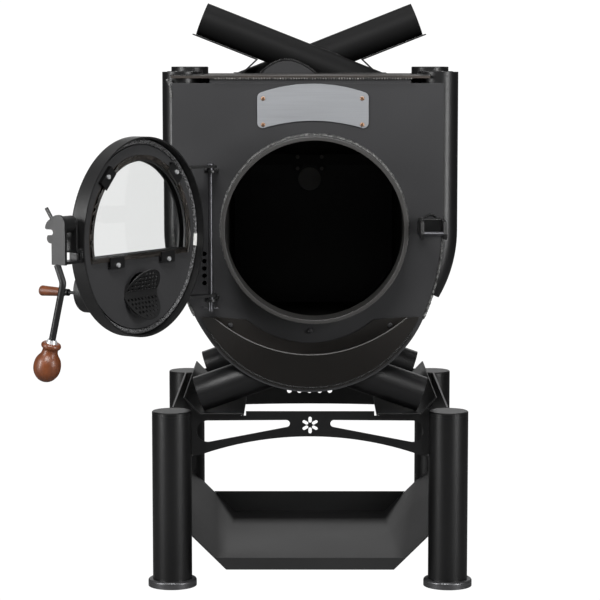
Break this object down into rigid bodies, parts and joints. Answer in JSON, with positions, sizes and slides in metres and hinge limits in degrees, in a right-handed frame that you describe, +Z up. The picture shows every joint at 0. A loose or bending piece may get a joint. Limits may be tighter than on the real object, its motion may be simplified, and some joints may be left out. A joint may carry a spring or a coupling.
{
  "type": "wood stove",
  "caption": "Free-standing steel wood stove with warm-air tubes, a round glazed door standing open, a latch handle, an air valve and a log tray between tubular legs.",
  "frame": {"origin": "on the floor, in the middle of the four legs", "axes": "+Z up; the door side faces -Y; +X to the right of someone facing the door; the flue leaves along +Y"},
  "size_m": [0.8207, 1.0723, 1.1316],
  "materials": {
    "black_plate": "matte black heat paint",
    "black_tube": "satin black heat paint on tube",
    "black_stand": "matte black powder paint",
    "foot_steel": "dark gun-metal, satin",
    "inner_steel": "matte black heat paint inside the firebox",
    "bare_plate": "brushed light grey",
    "rivet": "copper-toned rivet heads",
    "screw": "zinc-plated screws",
    "rope": "woven dark rope seal",
    "pane": "clear heat-proof glass",
    "varnished_wood": "red-brown varnished wood",
    "dark_steel": "satin black steel"
  },
  "bodies": {
    "stove": {"legs": "black_stand", "leg_caps": "black_stand", "feet": "foot_steel", "front_cross_member": "black_stand", "rear_cross_member": "black_stand", "side_rails": "black_stand", "cradle_rails": "black_stand", "wood_tray": "black_stand", "air_tubes_left": "black_tube", "air_tubes_right": "black_tube", "outlet_tube_to_left": "black_tube", "outlet_tube_to_right": "black_tube", "outlet_collars": "black_tube", "heat_guards": "dark_steel", "crossing_saddle": "black_plate", "firebox_shell": "black_plate", "air_inlets_front": "black_tube", "air_inlets_rear": "black_tube", "front_plate": "black_plate", "rear_plate": "black_plate", "header_bar": "black_plate", "top_plate": "black_plate", "door_collar": "black_plate", "firebox_liner": "inner_steel", "baffle_plate": "inner_steel", "baffle_keeper": "inner_steel", "keeper_bolts": "inner_steel", "rear_port_cover": "inner_steel", "flue_spigot": "black_tube", "name_plate": "bare_plate", "name_plate_rivets": "rivet", "ash_lip_plate": "black_plate", "ash_scoop": "black_plate", "ash_lip_screws": "dark_steel", "catch_bracket": "dark_steel", "catch_pin": "screw", "hinge_brackets": "dark_steel", "hinge_washers": "screw", "hinge_rod": "dark_steel", "hinge_cotter": "screw"},
    "door": {"door_shell": "black_plate", "door_leaves": "dark_steel", "inner_door_plate": "black_plate", "rope_seal": "rope", "glass_seal": "rope", "door_glass": "pane", "glass_clips": "dark_steel", "clip_screws": "screw", "spark_guard": "dark_steel", "intake_pipe": "black_tube", "valve_bridge": "dark_steel", "latch_carrier": "dark_steel"},
    "latch": {"latch_claw": "dark_steel", "latch_pivot_pin": "dark_steel", "latch_rod": "dark_steel", "grip_ferrule": "screw", "latch_grip": "varnished_wood"},
    "air_valve": {"valve_disc": "dark_steel", "valve_rod": "dark_steel", "valve_knob": "varnished_wood"}
  },
  "joints": [
    {"name": "door_hinge", "type": "hinge", "parent": "stove", "child": "door", "pos_m": [-0.1872, -0.361, 0.697], "axis": [0, 0, -1], "range_deg": [-122.8, 40]},
    {"name": "latch_pivot", "type": "hinge", "parent": "door", "child": "latch", "pos_m": [-0.43285, -0.69879, 0.732], "axis": [0.5417, 0.8406, 0], "range_deg": [0, 75]},
    {"name": "air_slide", "type": "slide", "parent": "door", "child": "air_valve", "axis": [-0.8406, 0.5417, 0], "range_m": [0, 0.025]}
  ]
}
